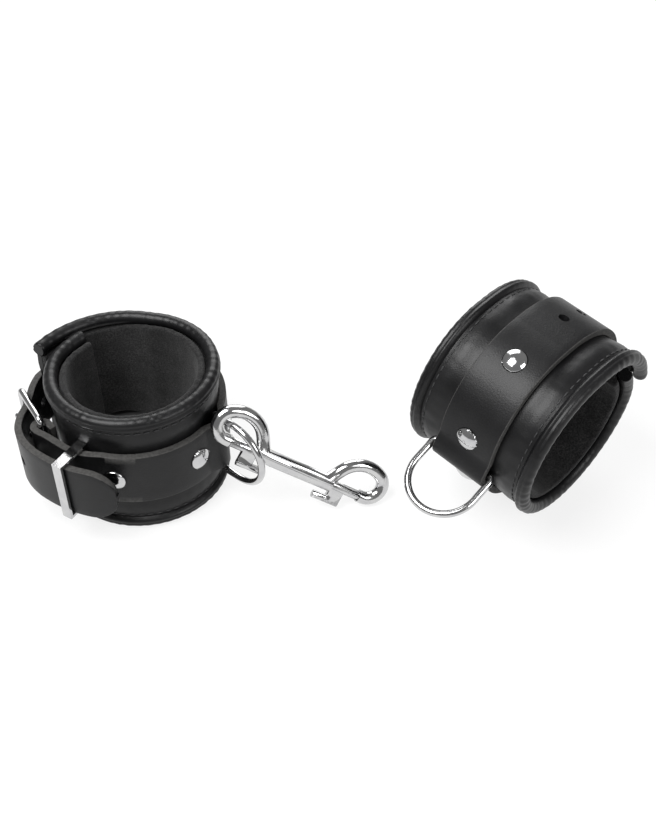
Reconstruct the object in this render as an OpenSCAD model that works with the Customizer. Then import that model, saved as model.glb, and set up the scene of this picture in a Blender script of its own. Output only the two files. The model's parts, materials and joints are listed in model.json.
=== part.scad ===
/* [Cuff band] */
// Inside radius of the cuff, measured to the lining
wrist_r = 27; // [23:0.5:33]
// Width of the band along the wrist
band_w = 60; // [52:1:74]
// Thickness of the suede lining
lining_t = 1.2; // [0.8:0.1:1.6]
// Thickness of the foam pad
foam_t = 4; // [3:0.1:5]
// Thickness of the outer leather panel
panel_t = 2.2; // [1.6:0.1:2.8]
// Radius of the rolled leather edge
roll_r = 3; // [2.6:0.1:3.4]
// How far the outer flap rises off the round at its free end
flap_rise = 9.7; // [8.5:0.1:12]

/* [Strap] */
// Width of the strap
strap_w = 25; // [21:1:30]
// Thickness of the strap
strap_t = 3; // [2.4:0.1:3.4]
// Diameter of the punched holes
hole_d = 4.6; // [4:0.1:5.4]
// Spacing of the punched holes, in degrees round the wrist
hole_pitch = 21.2; // [18:0.2:25]

/* [Rivets] */
// Diameter of a rivet cap
cap_d = 10; // [8:0.5:11]
// Height of a rivet cap
cap_h = 1.8; // [1.4:0.1:2.4]
// Diameter of a rivet shank
shank_d = 3; // [2.4:0.1:3.6]

/* [D-ring] */
// Diameter of the ring's wire
ring_wire = 3; // [2.4:0.1:3.4]
// Length of the ring outwards from its straight bar, outside
ring_depth = 29.3; // [26:0.1:34]
// Clearance between the ring's legs and the strap's edges
ring_play = 0.6; // [0.4:0.05:0.8]

/* [Buckle and keeper] */
// Diameter of the buckle frame's wire
frame_wire = 3; // [2.4:0.1:3.2]
// Distance between the buckle frame's two bars
frame_l = 22.3; // [20:0.1:25]
// Diameter of the prong
prong_d = 2.6; // [2.2:0.1:3]
// Width of the keeper's metal strip
keeper_w = 4.5; // [3.5:0.1:6]
// Thickness of the keeper's metal strip
keeper_t = 1.2; // [1:0.1:1.4]

/* [Bolt snap] */
// Length of the bolt snap over all
snap_l = 83.4; // [78:0.1:90]
// Radius of the barrel
barrel_r = 3.4; // [3.1:0.1:3.8]
// Half the length of the barrel
barrel_h = 17.5; // [16:0.5:19]
// Radius of the hook's round section
hook_r = 2.8; // [2.5:0.1:3]
// Radius of a sliding bolt
bolt_r = 2.1; // [1.8:0.05:2.2]
// How far a bolt slides back
bolt_travel = 7; // [5:0.5:7.5]
// Wire diameter of a bolt spring
spring_wire = 0.4; // [0.3:0.05:0.5]

/* [Hidden] */

// Clearances
seat_gap = 0.08;       // leather laid on leather
shank_gap = 0.05;      // rivet shank in its hole
pin_gap = 0.1;         // round bar in its loop or eye
rail_gap = 1.2;        // buckle rails beside the strap
bar_gap = 0.3;         // ring bar over the panel
keeper_gap = 0.7;      // keeper over the strap's tail
free_gap = 0.35;       // metal that lies loose on leather
bolt_gap = 0.07;       // bolt in its barrel

// The band, as distances from the middle of the outer panel
band_r = wrist_r + lining_t + foam_t + panel_t / 2;
mid_z = band_w / 2;
panel_out = panel_t / 2;
flap_foam_t = 1.2;     // the pad is skived thin under the flap
skive_before = 6;      // angle over which the pad thins, before and after
skive_after = 34;      // the flap's start
tuck_in = 1.5;         // how far the inner end lies inside the round
edge_z = 2 * roll_r;   // height of a rolled edge
lip_z = roll_r;        // height at which the lining's lips end

// Angles round the wrist, from the D-ring towards the tail
inner_end = -200.5;
inner_ease = -165;
flap_start = 103;
flap_end = 184;
band_step = 4.5;
rivet_angles = [-77.5, -20, 20, 77.5];

// The strap, as radii of the middle of its thickness
strap_r = band_r + panel_out + seat_gap + strap_t / 2;
bar_r = band_r + panel_out + bar_gap + ring_wire / 2;
bulge = bar_r + ring_wire / 2 + free_gap + strap_t / 2 - strap_r;
bulge_half = 13.5;     // half the angle that the bulge takes
lead_start = -84;      // where the buckle end lifts off the band
first_hole = 124.7;    // angle of the first punched hole
free_holes = [0, 1, 2, 3, 5];  // the fifth hole holds the prong
tongue_l = 4;          // length of the folded end's tongue
tongue_skive = 0.6;    // thickness pared off it
tip_in = 5;            // how far the cutter of the tail's round end reaches in
off_step = 8;          // angle between two stand-off values
hinge_angle = -132;    // where the buckle hangs
keeper_angle = -99.5;
strap_z = mid_z - strap_w / 2;
frame_r = frame_wire / 2;
loop_r = frame_r + pin_gap + strap_t / 2;
// Stand-off of the strap from the round, every off_step degrees
lead_off = [0, 1.3, 2.6, 3.2, 3.8, 5.2, 7.9];
tail_off = [9.75, 9.5, 9.1, 9.7, 12.2, 14, 14.2, 13.6, 12.6, 11.8, 11.2, 10.7, 10.3, 10.2];
tail_end = flap_end + off_step * (len(tail_off) - 1);
hinge_p = strap_offset(hinge_angle, -loop_r);
hinge_r = norm(hinge_p);
fold_dir = atan2(strap_normal(hinge_angle).y, strap_normal(hinge_angle).x);

// The buckle frame hangs on its hinge bar and its far bar lies over the tail
far_guess = strap_at(201) + strap_t / 2 + free_gap + frame_r;
far_turn = acos((hinge_r * hinge_r + far_guess * far_guess - frame_l * frame_l)
                / (2 * hinge_r * far_guess));
far_angle = atan2(hinge_p.y, hinge_p.x) + 360 - far_turn;
far_p = polar(far_guess, far_angle);
frame_dir = atan2(far_p.y - hinge_p.y, far_p.x - hinge_p.x);
frame_half = strap_w / 2 + rail_gap + frame_r;
prong_r = prong_d / 2;
burr_d = cap_d - 2.4;  // the rivets' washers behind the panel
burr_h = 0.7;
eye_wall = prong_r;
burr_drop = pow(burr_d, 2) / 8 / (band_r - panel_out) + 0.1;
prong_slack = 0.9;     // the prong in its hole in the tail
slot_slack = 0.5;      // the prong's eye in the slot of the fold
prong_lift = frame_r + prong_r + pin_gap;
prong_tilt = asin(prong_lift / frame_l);
prong_l = frame_l + frame_r + 1;
prong_angle = frame_dir + prong_tilt;

// The keeper goes round both layers of strap
keeper_in = band_r + panel_out + free_gap;
keeper_out = strap_at(360 + keeper_angle) + strap_t / 2 + keeper_gap;
keeper_half = strap_w / 2 + 1;

// The D-ring
ring_r = ring_wire / 2;
leg_z = strap_w / 2 + ring_play + ring_r;
leg_l = ring_depth - ring_wire - leg_z;
corner_r = 2.2;

// The bolt snap lies along X, with its eyes on +Y
tip_r = 6.2;
crown_r = 2 * tip_r;
tip_x = snap_l / 2 - hook_r - tip_r;
crown_x = tip_x - (crown_r - tip_r) * cos(60);
crown_y = tip_r - (crown_r - tip_r) * sin(60);
root_x = crown_x + crown_r * cos(150);
root_y = crown_y + crown_r * sin(150);
root_l = (root_y - 1) / sin(60);
socket_l = 1.8;
// The hook's middle line: socket, tip bend, crown and root
hook_path = concat(
    [[tip_x - socket_l, 0]],
    [for (a = [-90 : 10 : 60]) [tip_x, tip_r] + polar(tip_r, a)],
    [for (a = [70 : 10 : 150]) [crown_x, crown_y] + polar(crown_r, a)],
    [[root_x, root_y] - root_l * [cos(60), sin(60)]]);
bolt_tip = tip_x - 0.1;
bolt_back = 9;
spring_seat = 0.7;
spring_l = bolt_back - spring_seat - 0.1;
spring_turns = 3;
spring_r = bolt_r - spring_wire / 2 - 0.15;
block_x = barrel_h + 0.4;
block_l = 6.2;
block_w = 3;
knob_r = 1.6;
knob_y = -6.8;
knob_l = 12;

// Where the pieces lie: the left cuff stands over the origin
left_turn = -23.5;
left_swing = -20;
right_at = [158.4, -17.8, keeper_out + keeper_t - 1.075];
right_tilt = [0, 81.6, 135.7];
right_turn = 78;
right_swing = -9;
left_ring_at = [bar_r * cos(left_turn), bar_r * sin(left_turn), mid_z];
snap_left = left_ring_at + [8.6, -10.17, 7.1];
snap_right = left_ring_at + [55.9, -10.97, -23.6];
snap_roll = 67.6;
steel = [0.86, 0.86, 0.87];
leather = [0.07, 0.07, 0.07];

function smooth(t) = t * t * (3 - 2 * t);
function polar(r, a) = [r * cos(a), r * sin(a)];
function unit(v) = v / norm(v);

// Radius of the band's middle line at an angle
function band_at(a) =
    a < inner_ease ? band_r - tuck_in * (1 - smooth((a - inner_end) / (inner_ease - inner_end))) :
    a > flap_start ? band_r + flap_rise * pow((a - flap_start) / (flap_end - flap_start), 1.2) :
    band_r;
function band_point(a) = polar(band_at(a), a);
function band_normal(a) =
    let (d = band_point(a + 0.5) - band_point(a - 0.5))
    unit([d.y, -d.x]);
function band_offset(a, off) = band_point(a) + off * band_normal(a);

// A smooth curve through evenly spaced values
function blend(v, t) =
    let (n = len(v) - 1, i = max(0, min(n - 1, floor(t))), u = t - i,
         a = v[max(0, i - 1)], b = v[i], c = v[i + 1], d = v[min(n, i + 2)])
    b + u * ((c - a) / 2 + u * (a - 2.5 * b + 2 * c - d / 2 + u * ((d - a) / 2 + 1.5 * (b - c))));

// Radius of the strap's middle line at an angle
function strap_at(a) =
    a < lead_start ? strap_r + blend(lead_off, (lead_start - a) / off_step) :
    abs(a) < bulge_half ? strap_r + bulge * (1 + cos(180 * a / bulge_half)) / 2 :
    a > flap_end ? strap_r + blend(tail_off, (a - flap_end) / off_step) :
    a > flap_start ? band_at(a) + (strap_r - band_r) / (band_normal(a) * polar(1, a)) :
    strap_r;
function strap_point(a) = polar(strap_at(a), a);
function strap_normal(a) =
    let (d = strap_point(a + 0.5) - strap_point(a - 0.5))
    unit([d.y, -d.x]);
function strap_offset(a, off) = strap_point(a) + off * strap_normal(a);

// The buckle end of the strap, folded round the hinge bar, ends in a short skived tongue
function fold_point(r, a) = hinge_p + polar(r, fold_dir + a);
function fold_outline() =
    let (n = 24, inner = loop_r - strap_t / 2, outer = loop_r + strap_t / 2,
         along = polar(1, fold_dir + 90), tongue = outer - strap_t + tongue_skive)
    concat([for (k = [1 : n]) fold_point(inner, -180 * k / n)],
           [fold_point(tongue, -180) + along, fold_point(tongue, -180) + tongue_l * along,
            fold_point(outer, -180) + tongue_l * along],
           [for (k = [n : -1 : 1]) fold_point(outer, -180 * k / n)]);

// How thick the foam is at an angle: full round the wrist, thin in the flap
function foam_at(a) =
    a < flap_start - skive_before ? foam_t :
    a > flap_start + skive_after ? flap_foam_t :
    foam_t + (flap_foam_t - foam_t) * smooth((a - flap_start + skive_before) / (skive_before + skive_after));

function steps(a, b, n) = [for (i = [0 : n]) a + (b - a) * i / n];
band_n = ceil((flap_end - inner_end) / band_step);
band_angles = steps(inner_end, flap_end, band_n);
reverse_angles = steps(flap_end, inner_end, band_n);

// A layer of the band between two heights
module band_layer(angles, back, outer, inner, z0, z1)
    translate([0, 0, z0])
        linear_extrude(z1 - z0)
            polygon(concat([for (a = angles) band_offset(a, outer[0] + outer[1] * foam_at(a))],
                           [for (a = back) band_offset(a, inner[0] + inner[1] * foam_at(a))]));

module outer_panel()
    color(leather)
        difference() {
            band_layer(band_angles, reverse_angles, [panel_out, 0], [-panel_out, 0],
                       edge_z, band_w - edge_z);
            for (a = rivet_angles)
                radial_hole(a, band_r, shank_d / 2 + shank_gap, 8);
        }

module foam_pad()
    color([0.12, 0.12, 0.12])
        difference() {
            band_layer(band_angles, reverse_angles, [-panel_out, 0], [-panel_out, -1],
                       edge_z, band_w - edge_z);
            for (a = rivet_angles)
                radial_hole(a, band_r - panel_out, burr_d / 2 + 0.3, 2 * burr_h + 1);
        }

module lining() {
    lip_end = flap_start - skive_before;
    n = ceil((lip_end - inner_end) / band_step);
    lip_angles = steps(inner_end, lip_end, n);
    lip_back = steps(lip_end, inner_end, n);
    color([0.16, 0.16, 0.16]) {
        band_layer(band_angles, reverse_angles, [-panel_out, -1], [-panel_out - lining_t, -1],
                   edge_z, band_w - edge_z);
        for (z = [lip_z, band_w - edge_z])
            band_layer(lip_angles, lip_back, [-roll_r - 0.3, 0], [-panel_out - lining_t, -1],
                       z, z + edge_z - lip_z);
    }
}

// A rolled edge: a fourteen-sided round swept along the band, flat where it rests
module binding(z)
    color(leather) {
        sides = 14;
        rim = roll_r / cos(180 / sides);
        n = len(band_angles);
        points = [for (a = band_angles, k = [0 : sides - 1])
            let (q = 360 * (k + 0.5) / sides - 90,
                 p = band_offset(a, rim * cos(q)))
            [p.x, p.y, z + rim * sin(q)]];
        walls = [for (i = [0 : n - 2], k = [0 : sides - 1])
            [i * sides + k, i * sides + (k + 1) % sides,
             (i + 1) * sides + (k + 1) % sides, (i + 1) * sides + k]];
        first = [for (k = [0 : sides - 1]) sides - 1 - k];
        last = [for (k = [0 : sides - 1]) (n - 1) * sides + k];
        polyhedron(points, concat(walls, [first, last]), convexity = 6);
    }

// A round hole along a radius of the cuff, at half height
module radial_hole(a, r, hole_r, l)
    rotate([0, 0, a])
        translate([r, 0, mid_z])
            rotate([0, 90, 0])
                cylinder(r = hole_r, h = l, center = true, $fn = 32);

module strap() {
    n = 108;
    first = hinge_angle;
    angles = steps(first, tail_end, n);
    back = steps(tail_end, first, n);
    tip_turn = asin(strap_w / 2 / strap_at(tail_end));
    color([0.09, 0.09, 0.09])
        difference() {
            translate([0, 0, strap_z])
                linear_extrude(strap_w)
                    polygon(concat([for (a = angles) strap_offset(a, strap_t / 2)],
                                   [for (a = back) strap_offset(a, -strap_t / 2)],
                                   fold_outline()));
            // The tail's end is cut round
            difference() {
                rotate([0, 0, tail_end - tip_turn])
                    translate([strap_at(tail_end) - tip_in, 0, strap_z - 1])
                        cube([3 * tip_in, strap_w, strap_w + 2]);
                rotate([0, 0, tail_end - tip_turn])
                    translate([strap_at(tail_end) - tip_in - 1, 0, mid_z])
                        rotate([0, 90, 0])
                            cylinder(d = strap_w, h = 3 * tip_in + 2, $fn = 64);
            }
            for (a = rivet_angles)
                radial_hole(a, strap_r, shank_d / 2 + shank_gap, 8);
            for (i = free_holes)
                radial_hole(first_hole + hole_pitch * i, strap_at(first_hole + hole_pitch * i),
                            hole_d / 2, 2 * strap_t);
            // The prong passes through the tail, and through a slot in the fold
            translate([hinge_p.x, hinge_p.y, mid_z])
                rotate([0, 0, prong_angle])
                    rotate([0, 90, 0])
                        cylinder(r = prong_r + prong_slack, h = prong_l + 2, $fn = 32);
            translate([hinge_p.x, hinge_p.y, mid_z - prong_r - slot_slack])
                cylinder(r = loop_r + strap_t, h = prong_d + 2 * slot_slack, $fn = 40);
        }
}

// A domed cap, a shank through strap and panel, and a burr behind the panel
module rivet(a) {
    dome_r = (pow(cap_d / 2, 2) + cap_h * cap_h) / (2 * cap_h);
    face = strap_r + strap_t / 2;
    back = band_r - panel_out;
    rotate([0, 0, a])
        translate([0, 0, mid_z])
            rotate([0, 90, 0]) {
                intersection() {
                    translate([0, 0, face + cap_h - dome_r])
                        sphere(dome_r, $fn = 96);
                    translate([0, 0, face])
                        cylinder(d = cap_d, h = cap_h + 1, $fn = 48);
                }
                translate([0, 0, back - burr_drop - burr_h / 2])
                    cylinder(d = shank_d, h = face - back + burr_drop + burr_h, $fn = 32);
                translate([0, 0, back - burr_drop - burr_h])
                    cylinder(d = burr_d, h = burr_h, $fn = 40);
            }
}

module rivets()
    color(steel)
        for (a = rivet_angles)
            rivet(a);

// A rectangular loop of flat strip round both layers of strap
module keeper()
    color(steel)
        rotate([0, 0, keeper_angle])
            translate([keeper_in, -keeper_w / 2, mid_z])
                difference() {
                    translate([0, 0, -keeper_half - keeper_t])
                        cube([keeper_out - keeper_in + keeper_t, keeper_w, 2 * (keeper_half + keeper_t)]);
                    translate([keeper_t, -1, -keeper_half])
                        cube([keeper_out - keeper_in - keeper_t, keeper_w + 2, 2 * keeper_half]);
                }

// A quarter bend of wire that turns from +X to +Z
module wire_bend(bend_r, wire_r)
    translate([0, 0, bend_r])
        rotate([90, 0, 0])
            rotate([0, 0, -90])
                rotate_extrude(angle = 90, $fn = 48)
                    translate([bend_r, 0])
                        circle(wire_r, $fn = 32);

module wire(l, wire_r)
    rotate([0, 90, 0])
        cylinder(r = wire_r, h = l, $fn = 32);

// A rectangle of round wire: hinge bar, far bar and two rails
module buckle_frame() {
    l = norm(far_p - hinge_p);
    r = corner_r;
    color(steel)
        translate([hinge_p.x, hinge_p.y, mid_z])
            rotate([0, 0, frame_dir])
                for (s = [0, 1])
                    mirror([0, 0, s]) {
                        translate([r, 0, -frame_half])
                            wire(l - 2 * r, frame_r);
                        translate([l - r, 0, -frame_half])
                            wire_bend(r, frame_r);
                        translate([r, 0, -frame_half])
                            mirror([1, 0, 0])
                                wire_bend(r, frame_r);
                        for (x = [0, l])
                            translate([x, 0, -frame_half + r])
                                cylinder(r = frame_r, h = frame_half - r, $fn = 32);
                    }
}

// The prong: an eye round the hinge bar and a round finger that lies on the far bar
module buckle_prong()
    color(steel)
        translate([hinge_p.x, hinge_p.y, mid_z])
            rotate([0, 0, prong_angle])
                difference() {
                    union() {
                        cylinder(r = frame_r + pin_gap + eye_wall, h = prong_d, center = true, $fn = 40);
                        rotate([0, 90, 0])
                            cylinder(r = prong_r, h = prong_l, $fn = 32);
                        translate([prong_l, 0, 0])
                            sphere(prong_r, $fn = 32);
                    }
                    cylinder(r = frame_r + pin_gap, h = prong_d + 1, center = true, $fn = 40);
                }

// Straight bar, two legs and a half-round bow, all of one wire
module d_ring(swing)
    color(steel)
        translate([bar_r, 0, mid_z])
            rotate([0, 0, swing]) {
                for (s = [0, 1])
                    mirror([0, 0, s]) {
                        cylinder(r = ring_r, h = leg_z - corner_r, $fn = 32);
                        translate([corner_r, 0, -leg_z])
                            mirror([1, 0, 0])
                                wire_bend(corner_r, ring_r);
                        translate([corner_r, 0, -leg_z])
                            wire(leg_l - corner_r, ring_r);
                    }
                translate([leg_l, 0, 0])
                    rotate([90, 0, 0])
                        rotate([0, 0, -90])
                            rotate_extrude(angle = 180, $fn = 96)
                                translate([leg_z, 0])
                                    circle(ring_r, $fn = 32);
            }

// One hook of the snap, a round section swept along its middle line
module hook() {
    sides = 20;
    n = len(hook_path);
    points = [for (i = [0 : n - 1], k = [0 : sides - 1])
        let (d = unit(hook_path[min(n - 1, i + 1)] - hook_path[max(0, i - 1)]),
             q = 360 * k / sides,
             p = hook_path[i] + hook_r * cos(q) * [d.y, -d.x])
        [p.x, p.y, hook_r * sin(q)]];
    walls = [for (i = [0 : n - 2], k = [0 : sides - 1])
        [i * sides + k, i * sides + (k + 1) % sides,
         (i + 1) * sides + (k + 1) % sides, (i + 1) * sides + k]];
    first = [for (k = [0 : sides - 1]) sides - 1 - k];
    last = [for (k = [0 : sides - 1]) (n - 1) * sides + k];
    difference() {
        polyhedron(points, concat(walls, [first, last]), convexity = 6);
        translate([tip_x - socket_l - 1, 0, 0])
            rotate([0, 90, 0])
                cylinder(r = bolt_r + bolt_gap, h = socket_l + 1.2, $fn = 40);
    }
}

// The casting: barrel and two hooks, bored for the bolts and slotted for their thumb pieces
module snap_casting()
    color(steel)
        difference() {
            union() {
                translate([-barrel_h, 0, 0])
                    rotate([0, 90, 0])
                        cylinder(r = barrel_r, h = 2 * barrel_h, $fn = 48);
                hook();
                mirror([1, 0, 0])
                    hook();
            }
            for (s = [0, 1])
                mirror([s, 0, 0]) {
                    translate([spring_seat - 0.1, 0, 0])
                        rotate([0, 90, 0])
                            cylinder(r = bolt_r + bolt_gap, h = barrel_h + 3, $fn = 40);
                    translate([block_x - bolt_travel - 0.4, -barrel_r - 1, -block_w / 2 - 0.15])
                        cube([barrel_h, barrel_r + 1, block_w + 0.3]);
                }
        }

// A sliding bolt with its thumb piece
module bolt()
    color(steel) {
        translate([bolt_back, 0, 0])
            rotate([0, 90, 0])
                cylinder(r = bolt_r, h = bolt_tip - bolt_back, $fn = 40);
        translate([block_x, knob_y, -block_w / 2])
            cube([block_l, -knob_y, block_w]);
        translate([block_x + block_l - knob_l, knob_y, 0])
            rotate([0, 90, 0])
                cylinder(r = knob_r, h = knob_l, $fn = 32);
    }

// A coil spring behind a bolt, its turns swept as an eight-sided wire
module bolt_spring()
    color([0.6, 0.6, 0.62]) {
        turn_n = 20;
        sides = 8;
        n = spring_turns * turn_n;
        w = spring_wire / 2;
        points = [for (i = [0 : n], k = [0 : sides - 1])
            let (a = 360 * i / turn_n, q = 360 * k / sides, r = spring_r + w * cos(q))
            [spring_seat + w + (spring_l - spring_wire) * i / n + w * sin(q), r * cos(a), r * sin(a)]];
        walls = [for (i = [0 : n - 1], k = [0 : sides - 1])
            [i * sides + k, (i + 1) * sides + k,
             (i + 1) * sides + (k + 1) % sides, i * sides + (k + 1) % sides]];
        first = [for (k = [0 : sides - 1]) k];
        last = [for (k = [0 : sides - 1]) n * sides + sides - 1 - k];
        polyhedron(points, concat(walls, [first, last]), convexity = 6);
    }

module on_left()
    rotate([0, 0, left_turn])
        children();

module on_right()
    translate(right_at)
        rotate(right_tilt)
            rotate([0, 0, right_turn])
                translate([0, 0, -mid_z])
                    children();

// The snap's own axes: X along the barrel, Y towards its hooks' crowns
module on_snap() {
    u = unit(snap_right - snap_left);
    up = [0, cos(snap_roll), sin(snap_roll)];
    w = unit(up - (up * u) * u);
    n = cross(u, w);
    at = (snap_left + snap_right) / 2;
    multmatrix([[u.x, w.x, n.x, at.x], [u.y, w.y, n.y, at.y], [u.z, w.z, n.z, at.z], [0, 0, 0, 1]])
        children();
}

on_left() outer_panel();  // left_outer_panel
on_left() foam_pad();  // left_foam_pad
on_left() lining();  // left_lining
on_left() binding(band_w - roll_r);  // left_top_binding
on_left() binding(roll_r);  // left_bottom_binding
on_left() strap();  // left_strap
on_left() rivets();  // left_rivets
on_left() keeper();  // left_keeper
on_left() buckle_frame();  // left_buckle_frame
on_left() buckle_prong();  // left_buckle_prong
on_left() d_ring(left_swing);  // left_d_ring
on_right() outer_panel();  // right_outer_panel
on_right() foam_pad();  // right_foam_pad
on_right() lining();  // right_lining
on_right() binding(band_w - roll_r);  // right_top_binding
on_right() binding(roll_r);  // right_bottom_binding
on_right() strap();  // right_strap
on_right() rivets();  // right_rivets
on_right() keeper();  // right_keeper
on_right() buckle_frame();  // right_buckle_frame
on_right() buckle_prong();  // right_buckle_prong
on_right() d_ring(right_swing);  // right_d_ring
on_snap() snap_casting();  // snap_body
on_snap() mirror([1, 0, 0]) bolt();  // left_bolt
on_snap() bolt();  // right_bolt
on_snap() mirror([1, 0, 0]) bolt_spring();  // left_bolt_spring
on_snap() bolt_spring();  // right_bolt_spring
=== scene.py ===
import json
import math
import bpy
from mathutils import Matrix, Vector, noise

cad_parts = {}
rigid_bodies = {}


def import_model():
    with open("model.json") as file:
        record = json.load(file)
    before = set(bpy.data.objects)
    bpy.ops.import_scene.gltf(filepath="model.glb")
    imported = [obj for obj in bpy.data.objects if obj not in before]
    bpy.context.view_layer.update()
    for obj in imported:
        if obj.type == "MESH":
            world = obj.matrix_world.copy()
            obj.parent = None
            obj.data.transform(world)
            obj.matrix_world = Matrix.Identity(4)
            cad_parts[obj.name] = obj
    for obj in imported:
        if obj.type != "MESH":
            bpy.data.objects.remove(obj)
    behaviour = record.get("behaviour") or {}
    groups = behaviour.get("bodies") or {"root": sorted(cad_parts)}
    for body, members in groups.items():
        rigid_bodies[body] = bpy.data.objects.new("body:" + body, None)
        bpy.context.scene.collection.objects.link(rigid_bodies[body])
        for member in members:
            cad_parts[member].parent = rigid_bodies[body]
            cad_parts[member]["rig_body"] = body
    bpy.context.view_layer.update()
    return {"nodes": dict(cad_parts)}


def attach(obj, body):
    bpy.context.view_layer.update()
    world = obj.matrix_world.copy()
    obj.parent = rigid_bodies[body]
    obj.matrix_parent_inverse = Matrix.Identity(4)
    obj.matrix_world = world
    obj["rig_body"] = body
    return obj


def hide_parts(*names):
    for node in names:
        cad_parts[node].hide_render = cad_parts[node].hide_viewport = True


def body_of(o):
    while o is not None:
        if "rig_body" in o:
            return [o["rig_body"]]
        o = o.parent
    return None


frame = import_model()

nodes = frame["nodes"]
MM = 0.001


# The view: a camera that looks down on the pair from the buckle side, 0.6 m away,
# tilted a touch, so that the left cuff's rim shows open and the right cuff lies beyond the snap.
def place_camera():
    target = Vector((79.9, 33.7, 0)) * MM
    elevation = math.radians(42.71)
    roll = math.radians(-1.76)
    back = Vector((0, -math.cos(elevation), math.sin(elevation)))
    right = Vector((1, 0, 0))
    up = back.cross(right)
    tilted_right = right * math.cos(roll) + up * math.sin(roll)
    tilted_up = back.cross(tilted_right)
    turn = Matrix((tilted_right, tilted_up, back)).transposed()
    bpy.ops.object.camera_add(location=target + back * 600 * MM, rotation=turn.to_euler())
    camera = bpy.context.object
    camera.data.sensor_fit = "HORIZONTAL"
    camera.data.sensor_width = 36
    camera.data.lens = 71.78
    camera.data.clip_start = 0.01
    bpy.context.scene.camera = camera


place_camera()


# The wrist cuff's two shapes: where the band and the strap run round the wrist, in the cuff's own
# axes, and how each cuff is laid down. The band overlaps itself, so angles run past a full turn.
BAND_WIDTH = 60
BAND_RADIUS = 33.3
STRAP_RADIUS = 35.98
INNER_END, INNER_EASE = -200.5, -165
FLAP_START, FLAP_END, FLAP_RISE = 103, 184, 9.7
LEAD_OFF = (0, 1.3, 2.6, 3.2, 3.8, 5.2, 7.9)
TAIL_OFF = (9.75, 9.5, 9.1, 9.7, 12.2, 14, 14.2, 13.6, 12.6, 11.8, 11.2, 10.7, 10.3, 10.2)
LEAD_START, HINGE_ANGLE, OFF_STEP = -84, -132, 8
ARCH_HALF, ARCH_RISE = 13.5, 3.57
TAIL_END = FLAP_END + OFF_STEP * (len(TAIL_OFF) - 1)

cuff_places = {
    "left": Matrix.Rotation(math.radians(-23.5), 4, "Z"),
    "right": Matrix.Translation((158.4, -17.8, 49.75))
    @ Matrix.Rotation(math.radians(135.7), 4, "Z")
    @ Matrix.Rotation(math.radians(81.6), 4, "Y")
    @ Matrix.Rotation(math.radians(78), 4, "Z")
    @ Matrix.Translation((0, 0, -BAND_WIDTH / 2)),
}


def polar(radius, degrees):
    return Vector((radius * math.cos(math.radians(degrees)), radius * math.sin(math.radians(degrees))))


def ease(t):
    t = max(0.0, min(1.0, t))
    return t * t * (3 - 2 * t)


def band_radius(angle):
    if angle < INNER_EASE:
        return BAND_RADIUS - 1.5 * (1 - ease((angle - INNER_END) / (INNER_EASE - INNER_END)))
    if angle > FLAP_START:
        return BAND_RADIUS + FLAP_RISE * ((angle - FLAP_START) / (FLAP_END - FLAP_START)) ** 1.2
    return BAND_RADIUS


def through(values, t):
    i = max(0, min(len(values) - 2, math.floor(t)))
    f = t - i
    a, b, c, d = values[max(0, i - 1)], values[i], values[i + 1], values[min(len(values) - 1, i + 2)]
    bend = (d - a) / 2 + 1.5 * (b - c)
    return b + f * ((c - a) / 2 + f * (a - 2.5 * b + 2 * c - d / 2 + f * bend))


def strap_radius(angle):
    if angle < LEAD_START:
        return STRAP_RADIUS + through(LEAD_OFF, (LEAD_START - angle) / OFF_STEP)
    if abs(angle) < ARCH_HALF:
        return STRAP_RADIUS + ARCH_RISE * (1 + math.cos(math.pi * angle / ARCH_HALF)) / 2
    if angle > FLAP_END:
        return STRAP_RADIUS + through(TAIL_OFF, (angle - FLAP_END) / OFF_STEP)
    if angle > FLAP_START:
        out = curve_frame(band_radius, angle)[1].dot(polar(1, angle))
        return band_radius(angle) + (STRAP_RADIUS - BAND_RADIUS) / out
    return STRAP_RADIUS


def curve_frame(radius, angle):
    ahead = polar(radius(angle + 0.5), angle + 0.5) - polar(radius(angle - 0.5), angle - 0.5)
    return polar(radius(angle), angle), Vector((ahead.y, -ahead.x)).normalized()


def spread(start, end, count):
    return [start + (end - start) * i / count for i in range(count + 1)]


def select_only(piece):
    bpy.ops.object.select_all(action="DESELECT")
    piece.select_set(True)
    bpy.context.view_layer.objects.active = piece


# A worked strip, as leather is cut and turned: one closed outline, carried along a bent line. It starts
# as a grid that is wrapped round the outline, and its two ends close to a point behind the last ring.
def worked_strip(name, side, line, outline, end_round=0.6):
    rings = []
    last = len(line) - 1
    middle = lambda pts: (sum(p[0] for p in pts) / len(pts), sum(p[1] for p in pts) / len(pts))
    for i, (point, normal, key) in enumerate(line):
        pts = outline(key)
        if i in (0, last):
            cx, cz = middle(pts)
            step = (line[1][0] - line[0][0]) if i == 0 else (line[last - 1][0] - line[last][0])
            step = step.normalized() * end_round
            shrunk = [(cx + (x - cx) * 0.9, cz + (z - cz) * 0.985) for x, z in pts]
            poled = [(cx, cz)] * len(pts)
            tip = [(point, normal, poled), (point, normal, shrunk), (point + step, normal, pts)]
            rings += tip if i == 0 else tip[::-1]
        else:
            rings.append((point, normal, pts))
    around = len(rings[0][2])
    bpy.ops.mesh.primitive_grid_add(x_subdivisions=len(rings) - 1, y_subdivisions=around, size=1)
    piece = bpy.context.object
    piece.name = piece.data.name = name
    place = cuff_places[side]
    for v in piece.data.vertices:
        u = round((v.co.x + 0.5) * (len(rings) - 1))
        w = round((v.co.y + 0.5) * around) % around
        point, normal, pts = rings[u]
        off, z = pts[w]
        v.co = (place @ Vector((point.x + normal.x * off, point.y + normal.y * off, z))) * MM
    select_only(piece)
    bpy.ops.object.mode_set(mode="EDIT")
    bpy.ops.mesh.select_all(action="SELECT")
    bpy.ops.mesh.remove_doubles(threshold=1e-6)
    bpy.ops.mesh.normals_make_consistent(inside=False)
    bpy.ops.object.mode_set(mode="OBJECT")
    bpy.ops.object.shade_smooth_by_angle(angle=math.radians(50))
    return piece


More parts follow.
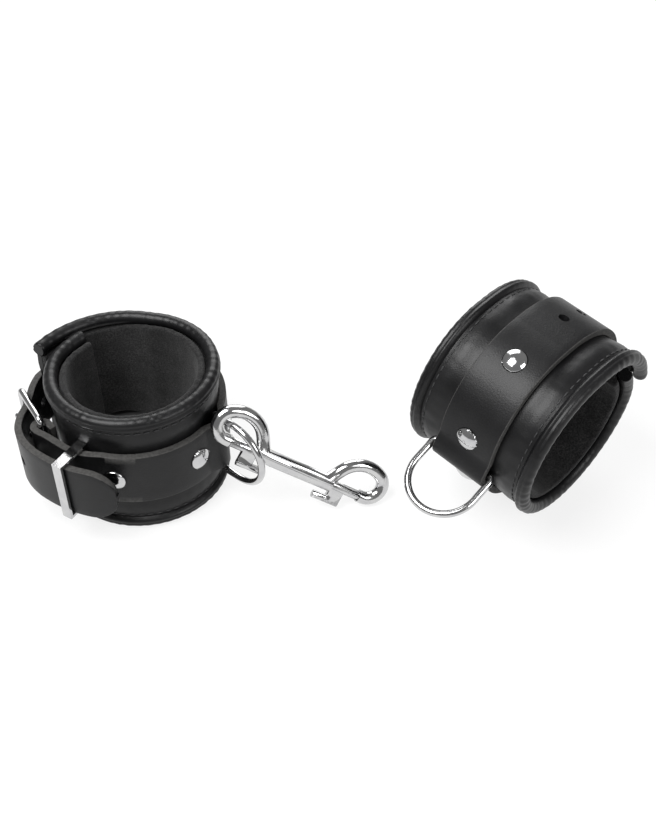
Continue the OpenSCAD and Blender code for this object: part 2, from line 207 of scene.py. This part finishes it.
def rounded_outline(corners, radius, arc=4, straight=6):
    points = []
    n = len(corners)
    for i in range(n):
        before, here, after = (Vector(corners[(i + k) % n]) for k in (-1, 0, 1))
        r_in = min(radius, (here - before).length / 2.01)
        r_out = min(radius, (after - here).length / 2.01)
        a = here + (before - here).normalized() * r_in
        b = here + (after - here).normalized() * r_out
        for k in range(arc + 1):
            t = k / arc
            points.append(a * (1 - t) ** 2 + here * 2 * t * (1 - t) + b * t * t)
        c = after + (here - after).normalized() * min(radius, (after - here).length / 2.01)
        points += [b + (c - b) * k / straight for k in range(1, straight)]
    return [(p.x, p.y) for p in points]


# The leather's finishes. Grain is a fine pebble of raised cells with a slow change of tone over it. It is
# one node group, shared by the smooth leather and the strap, whose raw edges are paler and fibrous.
def new_group(name, inputs, outputs):
    group = bpy.data.node_groups.new(name, "ShaderNodeTree")
    for label, kind, value in inputs:
        socket = group.interface.new_socket(label, in_out="INPUT", socket_type=kind)
        socket.default_value = value
    for label, kind in outputs:
        group.interface.new_socket(label, in_out="OUTPUT", socket_type=kind)
    return group, group.nodes.new("NodeGroupInput"), group.nodes.new("NodeGroupOutput")


def build_grain():
    group, given, result = new_group(
        "leather_grain",
        [("Grain Scale", "NodeSocketFloat", 1100.0), ("Depth", "NodeSocketFloat", 0.3)],
        [("Normal", "NodeSocketVector"), ("Tone", "NodeSocketFloat")],
    )
    add, link = group.nodes.new, group.links.new
    where = add("ShaderNodeTexCoord")
    cells = add("ShaderNodeTexVoronoi")
    cells.feature = "DISTANCE_TO_EDGE"
    link(where.outputs["Object"], cells.inputs["Vector"])
    link(given.outputs["Grain Scale"], cells.inputs["Scale"])
    folds = add("ShaderNodeTexNoise")
    folds.inputs["Scale"].default_value = 260
    folds.inputs["Detail"].default_value = 5
    link(where.outputs["Object"], folds.inputs["Vector"])
    both = add("ShaderNodeMath")
    both.operation = "ADD"
    link(cells.outputs["Distance"], both.inputs[0])
    link(folds.outputs["Fac"], both.inputs[1])
    bump = add("ShaderNodeBump")
    bump.inputs["Distance"].default_value = 0.0003
    link(given.outputs["Depth"], bump.inputs["Strength"])
    link(both.outputs[0], bump.inputs["Height"])
    slow = add("ShaderNodeTexNoise")
    slow.inputs["Scale"].default_value = 55
    slow.inputs["Detail"].default_value = 3
    link(where.outputs["Object"], slow.inputs["Vector"])
    link(bump.outputs["Normal"], result.inputs["Normal"])
    link(slow.outputs["Fac"], result.inputs["Tone"])
    return group


grain = build_grain()


def leather(name, dark, pale, gloss, scale, depth, edge=False):
    material = bpy.data.materials.new(name)
    material.use_nodes = True
    tree = material.node_tree
    add, link = tree.nodes.new, tree.links.new
    surface = tree.nodes["Principled BSDF"]
    skin = add("ShaderNodeGroup")
    skin.node_tree = grain
    skin.inputs["Grain Scale"].default_value = scale
    skin.inputs["Depth"].default_value = depth
    ramp = add("ShaderNodeValToRGB")
    ramp.color_ramp.elements[0].position, ramp.color_ramp.elements[1].position = 0.3, 0.72
    ramp.color_ramp.elements[0].color = (*dark, 1)
    ramp.color_ramp.elements[1].color = (*pale, 1)
    link(skin.outputs["Tone"], ramp.inputs["Fac"])
    rough = add("ShaderNodeMapRange")
    rough.inputs["To Min"].default_value, rough.inputs["To Max"].default_value = gloss
    link(skin.outputs["Tone"], rough.inputs["Value"])
    colour, roughness = ramp.outputs["Color"], rough.outputs["Result"]
    if edge:
        cut = add("ShaderNodeAttribute")
        cut.attribute_name = "cut_edge"
        fibre = add("ShaderNodeTexNoise")
        fibre.inputs["Scale"].default_value = 900
        fibre.inputs["Detail"].default_value = 4
        where = add("ShaderNodeTexCoord")
        link(where.outputs["Object"], fibre.inputs["Vector"])
        raw = add("ShaderNodeValToRGB")
        raw.color_ramp.elements[0].color = (0.012, 0.012, 0.012, 1)
        raw.color_ramp.elements[1].color = (0.085, 0.083, 0.08, 1)
        link(fibre.outputs["Fac"], raw.inputs["Fac"])
        mix = add("ShaderNodeMix")
        mix.data_type = "RGBA"
        link(cut.outputs["Fac"], mix.inputs[0])
        link(colour, mix.inputs[6])
        link(raw.outputs["Color"], mix.inputs[7])
        dull = add("ShaderNodeMix")
        link(cut.outputs["Fac"], dull.inputs[0])
        link(roughness, dull.inputs[2])
        dull.inputs[3].default_value = 0.9
        colour, roughness = mix.outputs[2], dull.outputs[0]
    link(colour, surface.inputs["Base Color"])
    link(roughness, surface.inputs["Roughness"])
    link(skin.outputs["Normal"], surface.inputs["Normal"])
    surface.inputs["Specular IOR Level"].default_value = 0.26
    surface.inputs["Coat Weight"].default_value = 0.05
    surface.inputs["Coat Roughness"].default_value = 0.22
    return material


smooth_leather = leather(
    "smooth_leather", (0.0025, 0.0025, 0.0028), (0.0065, 0.0065, 0.007), (0.33, 0.47), 1100, 0.2)
strap_leather = leather(
    "strap_leather", (0.003, 0.003, 0.0034), (0.0075, 0.0075, 0.008), (0.36, 0.5), 900, 0.22,
    edge=True)


# The outer panel is one strip of chrome-tanned leather, skived at its long edges and stuffed a little
# proud beside the strap, where the foam pushes it out. The flap's end is left free and curls away.
def foam_depth(angle):
    return 4 - 2.8 * ease((angle - FLAP_START + 6) / 40)


def band_line(count=300, start=INNER_END, end=FLAP_END):
    return [(*curve_frame(band_radius, a), a) for a in spread(start, end, count)]


def panel_outline(angle):
    pts = rounded_outline([(-1.1, 5.0), (1.1, 5.0), (1.1, 55.0), (-1.1, 55.0)], 0.5, 3, 28)
    shaped = []
    for off, z in pts:
        if off > 0.5:
            beside = min(abs(z - 5.5), abs(z - 54.5))
            swell = math.exp(-((beside - 5.0) / 3.6) ** 2)
            ripple = noise.noise(Vector((angle * 0.16, z * 0.13, 2.0))) * 0.22
            if not 16.5 < z < 43.5:
                off += 0.62 * swell + ripple * swell
        shaped.append((off, z))
    return shaped


for side in ("left", "right"):
    panel = worked_strip(f"{side}_panel_leather", side, band_line(), panel_outline)
    panel.data.materials.append(smooth_leather)
    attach(panel, f"{side}_cuff")
    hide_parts(f"{side}_outer_panel")


# The lining is napped suede over the foam, puffed between the two rims, and its edges come up inside
# the rolls as a soft lip. Foam and suede are one padded piece here, since nothing shows between them.
def build_suede():
    material = bpy.data.materials.new("suede")
    material.use_nodes = True
    tree = material.node_tree
    add, link = tree.nodes.new, tree.links.new
    surface = tree.nodes["Principled BSDF"]
    where = add("ShaderNodeTexCoord")
    nap = add("ShaderNodeTexNoise")
    nap.inputs["Scale"].default_value = 1500
    nap.inputs["Detail"].default_value = 6
    nap.inputs["Roughness"].default_value = 0.75
    brushed = add("ShaderNodeTexNoise")
    brushed.inputs["Scale"].default_value = 130
    brushed.inputs["Detail"].default_value = 4
    for field in (nap, brushed):
        link(where.outputs["Object"], field.inputs["Vector"])
    speck = add("ShaderNodeValToRGB")
    speck.color_ramp.elements[0].position, speck.color_ramp.elements[1].position = 0.42, 0.68
    speck.color_ramp.elements[0].color = (0.006, 0.006, 0.0065, 1)
    speck.color_ramp.elements[1].color = (0.042, 0.0415, 0.041, 1)
    link(nap.outputs["Fac"], speck.inputs["Fac"])
    tone = add("ShaderNodeMapRange")
    tone.inputs["From Min"].default_value, tone.inputs["From Max"].default_value = 0.3, 0.7
    tone.inputs["To Min"].default_value, tone.inputs["To Max"].default_value = 0.55, 1.15
    link(brushed.outputs["Fac"], tone.inputs["Value"])
    shade = add("ShaderNodeVectorMath")
    shade.operation = "SCALE"
    link(speck.outputs["Color"], shade.inputs[0])
    link(tone.outputs["Result"], shade.inputs["Scale"])
    link(shade.outputs["Vector"], surface.inputs["Base Color"])
    bump = add("ShaderNodeBump")
    bump.inputs["Strength"].default_value = 0.6
    bump.inputs["Distance"].default_value = 0.0004
    link(nap.outputs["Fac"], bump.inputs["Height"])
    link(bump.outputs["Normal"], surface.inputs["Normal"])
    surface.inputs["Roughness"].default_value = 0.95
    surface.inputs["Specular IOR Level"].default_value = 0.2
    surface.inputs["Sheen Weight"].default_value = 0.08
    surface.inputs["Sheen Roughness"].default_value = 0.5
    return material


suede = build_suede()


def pad_outline(angle):
    thick = foam_depth(angle)
    inner = -(1.1 + thick + 1.2)
    full = (thick - 1.2) / 2.8
    lip = -(1.2 + 2.2 * full)
    low = 6 - 2.9 * full
    high = BAND_WIDTH - low
    pts = rounded_outline([(inner, low), (inner, high), (lip, high), (lip, 54), (-1.2, 54),
                           (-1.2, 6), (lip, 6), (lip, low)], 1.3, 4, 12)
    shaped = []
    for off, z in pts:
        if off < inner + 0.6 and low + 1 < z < high - 1:
            puff = math.sin(math.pi * (z - low) / (high - low))
            off -= 0.5 * full * puff + 0.25 * full * noise.noise(Vector((angle * 0.09, z * 0.09, 5.0)))
        if z > high - 0.8:
            z += 0.35 * full * noise.noise(Vector((angle * 0.22, 0, 9.0)))
        shaped.append((off, z))
    return shaped


for side in ("left", "right"):
    lining = worked_strip(f"{side}_lining_pad", side, band_line(), pad_outline)
    lining.data.materials.append(suede)
    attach(lining, f"{side}_cuff")
    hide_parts(f"{side}_lining", f"{side}_foam_pad")


# The rolled edges: a strip of thin leather turned over a cord and sewn down, so each is a full round
# with a shallow second ridge on its outer side, where the turned edge lies over the panel.
def roll_outline(top):
    base = BAND_WIDTH - 3 if top else 3
    way = 1 if top else -1

    def outline(angle):
        pucker = 0.05 * math.sin(math.radians(angle) * 52) + 0.12 * noise.noise(Vector((angle * 0.3, base, 0)))
        pts = []
        for k in range(36):
            turn = 2 * math.pi * k / 36
            ridge = 0.28 * math.exp(-((turn - math.radians(338)) / 0.3) ** 2)
            dent = -0.42 * math.exp(-((turn - math.radians(5)) / 0.17) ** 2)
            r = 2.93 + ridge + dent + pucker * (1 if 20 < math.degrees(turn) < 170 else 0.3)
            pts.append((r * math.cos(turn), base + way * r * math.sin(turn)))
        return pts

    return outline


for side in ("left", "right"):
    for top in (True, False):
        which = "top" if top else "bottom"
        line = [(*curve_frame(band_radius, a), a) for a in spread(INNER_END, FLAP_END, 420)]
        roll = worked_strip(f"{side}_{which}_roll", side, line, roll_outline(top))
        roll.data.materials.append(smooth_leather)
        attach(roll, f"{side}_cuff")
        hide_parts(f"{side}_{which}_binding")


# The seam below each roll is black waxed thread in a lock stitch. One stitch is modelled as a short
# fat capsule and repeated along the band, each sunk a little at its ends.
def build_thread():
    material = bpy.data.materials.new("waxed_thread")
    material.use_nodes = True
    tree = material.node_tree
    add, link = tree.nodes.new, tree.links.new
    surface = tree.nodes["Principled BSDF"]
    where = add("ShaderNodeTexCoord")
    twist = add("ShaderNodeTexNoise")
    twist.inputs["Scale"].default_value = 2400
    link(where.outputs["Object"], twist.inputs["Vector"])
    ramp = add("ShaderNodeValToRGB")
    ramp.color_ramp.elements[0].color = (0.006, 0.006, 0.006, 1)
    ramp.color_ramp.elements[1].color = (0.03, 0.03, 0.032, 1)
    link(twist.outputs["Fac"], ramp.inputs["Fac"])
    link(ramp.outputs["Color"], surface.inputs["Base Color"])
    surface.inputs["Roughness"].default_value = 0.6
    return material


thread = build_thread()
STITCH_PITCH = 6.3
for side in ("left", "right"):
    stitches = []
    angles = [INNER_END + 3 + STITCH_PITCH * k for k in range(int((FLAP_END - INNER_END - 5) / STITCH_PITCH))]
    for z in (7.0, 53.0):
        for a in angles:
            point, normal = curve_frame(band_radius, a)
            ahead = Vector((-normal.y, normal.x, 0))
            out = Vector((normal.x, normal.y, 0))
            bpy.ops.mesh.primitive_uv_sphere_add(segments=8, ring_count=6, radius=1)
            stitch = bpy.context.object
            axes = Matrix((ahead * 1.45, out * 0.32, Vector((0, 0, 0.34)))).transposed().to_4x4()
            at = Vector((point.x, point.y, z)) + out * 1.42
            place = Matrix.Scale(MM, 4) @ cuff_places[side] @ Matrix.Translation(at) @ axes
            stitch.data.transform(place)
            stitches.append(stitch)
    bpy.ops.object.select_all(action="DESELECT")
    for s in stitches:
        s.select_set(True)
    bpy.context.view_layer.objects.active = stitches[0]
    bpy.ops.object.join()
    seam = bpy.context.object
    seam.name = seam.data.name = f"{side}_seam_thread"
    select_only(seam)
    bpy.ops.object.mode_set(mode="EDIT")
    bpy.ops.mesh.select_all(action="SELECT")
    bpy.ops.mesh.normals_make_consistent(inside=False)
    bpy.ops.object.mode_set(mode="OBJECT")
    bpy.ops.object.shade_smooth()
    seam.data.materials.append(thread)
    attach(seam, f"{side}_cuff")


# The strap is one length of thick bridle leather with raw edges. Its buckle end folds round the hinge
# bar; its tail is cut round and punched. Its holes and the slot for the prong's eye are cut by cylinders.
LOOP = 3.1
HALF_WIDTH, HALF_THICK = 12.5, 1.5
FRAME_LENGTH, FIRST_HOLE, HOLE_PITCH, HOLE_RADIUS = 22.3, 124.7, 21.2, 2.3
hinge_on_strap, hinge_out = curve_frame(strap_radius, HINGE_ANGLE)
HINGE = hinge_on_strap - hinge_out * LOOP
FOLD = math.degrees(math.atan2(hinge_out.y, hinge_out.x))


def strap_line():
    line = []
    back = polar(1, FOLD - 180)
    tongue = polar(1, FOLD + 90)
    for k in range(6):
        line.append((HINGE + back * LOOP + tongue * (4 - 0.8 * k), back, 0))
    for k in range(1, 25):
        out = polar(1, FOLD - 180 + 7.5 * k)
        line.append((HINGE + out * LOOP, out, 0))
    angles = spread(HINGE_ANGLE, TAIL_END, 400)[1:]
    for a in angles:
        line.append((*curve_frame(strap_radius, a), a))
    lengths = [0]
    for here, there in zip(line, line[1:]):
        lengths.append(lengths[-1] + (there[0] - here[0]).length)
    total = lengths[-1]
    return [(p, n, (s, total)) for (p, n, _), s in zip(line, lengths)]


def strap_outline(key):
    s, total = key
    half = HALF_WIDTH
    left = total - s
    if left < HALF_WIDTH:
        half = max(1.2, math.sqrt(max(0.0, HALF_WIDTH**2 - (HALF_WIDTH - left) ** 2)))
    wave = 0.05 * noise.noise(Vector((s * 0.2, 3, 0)))
    low, high = BAND_WIDTH / 2 - half, BAND_WIDTH / 2 + half
    corners = [(-HALF_THICK, low), (HALF_THICK, low), (HALF_THICK, high), (-HALF_THICK, high)]
    return rounded_outline(corners, 0.42 + wave, 3, 8)


def cut_away(piece, cutter):
    select_only(piece)
    cut = piece.modifiers.new("cut", "BOOLEAN")
    cut.operation = "DIFFERENCE"
    cut.solver = "EXACT"
    cut.object = cutter
    bpy.ops.object.modifier_apply(modifier=cut.name)
    bpy.data.objects.remove(cutter)


far_guess = strap_radius(201) + 1.5 + 0.35 + 1.5
hinge_r = HINGE.length
far_turn = math.degrees(math.acos((hinge_r**2 + far_guess**2 - FRAME_LENGTH**2) / (2 * hinge_r * far_guess)))
far_bar = polar(far_guess, math.degrees(math.atan2(HINGE.y, HINGE.x)) + 360 - far_turn)
frame_way = math.degrees(math.atan2(far_bar.y - HINGE.y, far_bar.x - HINGE.x))
prong_way = frame_way + math.degrees(math.asin(2.9 / FRAME_LENGTH))

for side in ("left", "right"):
    strap = worked_strip(f"{side}_strap_leather", side, strap_line(), strap_outline)
    place = cuff_places[side]
    turn = place.to_3x3()
    edge = strap.data.attributes.new("cut_edge", "FLOAT", "POINT")
    back_to_cuff = place.inverted()
    line = strap_line()
    total = line[-1][2][1]
    tail_point = line[-1][0]
    for v in strap.data.vertices:
        local = back_to_cuff @ (v.co / MM)
        near = (Vector((local.x, local.y)) - tail_point).length
        half = HALF_WIDTH
        if near <= HALF_WIDTH:
            half = math.sqrt(max(0.0, HALF_WIDTH**2 - (HALF_WIDTH - near) ** 2))
        edge.data[v.index].value = 1.0 if abs(local.z - 30) > half - 0.35 else 0.0
    for k in (0, 1, 2, 3, 5):
        angle = FIRST_HOLE + HOLE_PITCH * k
        out = polar(1, angle)
        at = place @ Vector((out.x * strap_radius(angle), out.y * strap_radius(angle), 30))
        way = turn @ Vector((out.x, out.y, 0))
        bpy.ops.mesh.primitive_cylinder_add(
            vertices=40, radius=HOLE_RADIUS * MM, depth=6 * MM, location=at * MM,
            rotation=way.to_track_quat("Z", "Y").to_euler())
        cut_away(strap, bpy.context.object)
    way = polar(1, prong_way)
    at = place @ Vector((HINGE.x + way.x * 14, HINGE.y + way.y * 14, 30))
    bpy.ops.mesh.primitive_cylinder_add(
        vertices=40, radius=2.2 * MM, depth=28 * MM, location=at * MM,
        rotation=(turn @ Vector((way.x, way.y, 0))).to_track_quat("Z", "Y").to_euler())
    cut_away(strap, bpy.context.object)
    at = place @ Vector((HINGE.x, HINGE.y, 30))
    bpy.ops.mesh.primitive_cylinder_add(
        vertices=40, radius=6.1 * MM, depth=3.6 * MM, location=at * MM,
        rotation=(turn @ Vector((0, 0, 1))).to_track_quat("Z", "Y").to_euler())
    cut_away(strap, bpy.context.object)
    strap.data.materials.clear()
    strap.data.materials.append(strap_leather)
    select_only(strap)
    bpy.ops.object.shade_smooth_by_angle(angle=math.radians(40))
    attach(strap, f"{side}_cuff")
    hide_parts(f"{side}_strap")


# The metal parts are cast or bent wire, tumbled and nickel plated: bright, a little uneven where the
# polish has drawn, with hairline scratches. Each is a copy of its solid, joined up so that it shades smooth.
def build_nickel(name, base, low, high):
    material = bpy.data.materials.new(name)
    material.use_nodes = True
    tree = material.node_tree
    add, link = tree.nodes.new, tree.links.new
    surface = tree.nodes["Principled BSDF"]
    where = add("ShaderNodeTexCoord")
    patch = add("ShaderNodeTexNoise")
    patch.inputs["Scale"].default_value = 180
    patch.inputs["Detail"].default_value = 4
    hair = add("ShaderNodeTexNoise")
    hair.inputs["Scale"].default_value = 1400
    for field in (patch, hair):
        link(where.outputs["Object"], field.inputs["Vector"])
    tone = add("ShaderNodeValToRGB")
    tone.color_ramp.elements[0].position, tone.color_ramp.elements[1].position = 0.3, 0.7
    tone.color_ramp.elements[0].color = (base * 0.82, base * 0.82, base * 0.84, 1)
    tone.color_ramp.elements[1].color = (base, base, base * 0.99, 1)
    link(patch.outputs["Fac"], tone.inputs["Fac"])
    link(tone.outputs["Color"], surface.inputs["Base Color"])
    rough = add("ShaderNodeMapRange")
    rough.inputs["To Min"].default_value, rough.inputs["To Max"].default_value = low, high
    link(patch.outputs["Fac"], rough.inputs["Value"])
    link(rough.outputs["Result"], surface.inputs["Roughness"])
    bump = add("ShaderNodeBump")
    bump.inputs["Strength"].default_value = 0.06
    bump.inputs["Distance"].default_value = 0.0002
    link(hair.outputs["Fac"], bump.inputs["Height"])
    link(bump.outputs["Normal"], surface.inputs["Normal"])
    surface.inputs["Metallic"].default_value = 1
    return material


nickel = build_nickel("nickel", 0.6, 0.08, 0.17)
spring_steel = build_nickel("spring_steel", 0.55, 0.25, 0.35)
METAL = ("rivets", "keeper", "buckle", "d_ring", "snap_body", "bolt")
for name, node in nodes.items():
    if "spring" in name:
        node.data.materials.clear()
        node.data.materials.append(spring_steel)
    elif any(word in name for word in METAL):
        body = body_of(node)
        select_only(node)
        bpy.ops.object.duplicate()
        part = bpy.context.object
        for key in list(part.keys()):
            del part[key]
        part.parent = None
        part.name = part.data.name = name + "_plated"
        bpy.ops.object.mode_set(mode="EDIT")
        bpy.ops.mesh.select_all(action="SELECT")
        bpy.ops.mesh.remove_doubles(threshold=2e-6)
        bpy.ops.object.mode_set(mode="OBJECT")
        bpy.ops.object.shade_smooth_by_angle(angle=math.radians(34))
        part.data.materials.clear()
        part.data.materials.append(nickel)
        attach(part, body if isinstance(body, str) else body[0])
        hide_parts(name)


# The table is a plain white sheet under soft window light from the upper left, with a weaker fill.
# It shows white to the camera and to the polished metal, and keeps the pair's contact shadow.
def build_stage():
    bpy.ops.mesh.primitive_plane_add(size=6, location=(0.08, 0, -0.0003))
    table = bpy.context.object
    table.name = "table"
    material = bpy.data.materials.new("table_white")
    material.use_nodes = True
    tree = material.node_tree
    add, link = tree.nodes.new, tree.links.new
    matt = tree.nodes["Principled BSDF"]
    matt.inputs["Base Color"].default_value = (0.9, 0.9, 0.9, 1)
    matt.inputs["Roughness"].default_value = 0.9
    glow = add("ShaderNodeEmission")
    glow.inputs["Strength"].default_value = 1
    path = add("ShaderNodeLightPath")
    seen = add("ShaderNodeMath")
    seen.operation = "MAXIMUM"
    link(path.outputs["Is Camera Ray"], seen.inputs[0])
    link(path.outputs["Is Glossy Ray"], seen.inputs[1])
    half = add("ShaderNodeMath")
    half.operation = "MULTIPLY"
    half.inputs[1].default_value = 0.8
    link(seen.outputs[0], half.inputs[0])
    mix = add("ShaderNodeMixShader")
    link(half.outputs[0], mix.inputs[0])
    link(matt.outputs[0], mix.inputs[1])
    link(glow.outputs[0], mix.inputs[2])
    link(mix.outputs[0], tree.nodes["Material Output"].inputs["Surface"])
    table.data.materials.append(material)

    world = bpy.data.worlds.new("room")
    bpy.context.scene.world = world
    world.use_nodes = True
    tree = world.node_tree
    add, link = tree.nodes.new, tree.links.new
    tree.nodes.clear()
    out = add("ShaderNodeOutputWorld")
    path = add("ShaderNodeLightPath")
    room, backdrop = add("ShaderNodeBackground"), add("ShaderNodeBackground")
    room.inputs["Color"].default_value = (1, 1, 1, 1)
    room.inputs["Strength"].default_value = 0.25
    backdrop.inputs["Strength"].default_value = 1
    backdrop.inputs["Color"].default_value = (1, 1, 1, 1)
    seen = add("ShaderNodeMath")
    seen.operation = "MAXIMUM"
    link(path.outputs["Is Camera Ray"], seen.inputs[0])
    link(path.outputs["Is Transmission Ray"], seen.inputs[1])
    mix = add("ShaderNodeMixShader")
    link(seen.outputs[0], mix.inputs[0])
    link(room.outputs[0], mix.inputs[1])
    link(backdrop.outputs[0], mix.inputs[2])
    link(mix.outputs[0], out.inputs["Surface"])

    lamps = (("window", (-0.25, -0.2, 0.75), 0.5, 9), ("fill", (0.6, -0.5, 0.5), 0.4, 3),
             ("behind", (0.1, 0.7, 0.5), 0.6, 5))
    for name, at, size, watts in lamps:
        lamp = bpy.data.lights.new(name, "AREA")
        lamp.size = size
        lamp.energy = watts
        holder = bpy.data.objects.new(name, lamp)
        bpy.context.scene.collection.objects.link(holder)
        holder.location = at
        holder.rotation_euler = (Vector((0.08, 0, 0.03)) - Vector(at)).to_track_quat("-Z", "Y").to_euler()


build_stage()
bpy.context.scene.view_settings.view_transform = "Standard"
